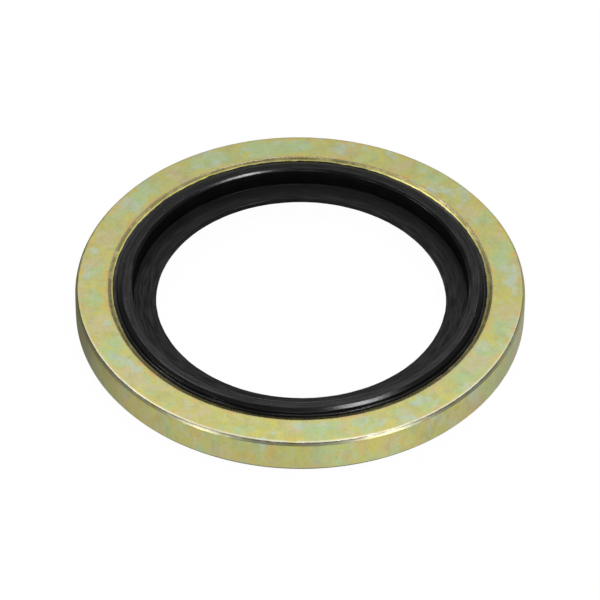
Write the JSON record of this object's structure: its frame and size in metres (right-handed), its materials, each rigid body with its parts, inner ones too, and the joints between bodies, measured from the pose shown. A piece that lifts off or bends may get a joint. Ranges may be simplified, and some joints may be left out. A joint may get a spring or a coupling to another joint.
{
  "type": "bonded sealing washer",
  "caption": "Flat steel ring with a rubber seal bonded in its bore: a raised sealing lip on each side and a thin inner membrane that centres the washer on a thread.",
  "frame": {"origin": "on the washer's axis, level with the crest of the lower sealing lip, which it stands on", "axes": "+Z along the washer's axis, away from the surface it lies on; X and Y across it, with no preferred direction"},
  "size_m": [0.0286, 0.0286, 0.0027],
  "materials": {
    "passivated_zinc": "zinc plated steel with an iridescent yellow passivation, satin",
    "black_rubber": "moulded nitrile rubber, matt to semi-gloss black"
  },
  "bodies": {
    "root": {"steel_ring": "passivated_zinc", "rubber_seal": "black_rubber"}
  },
  "joints": []
}
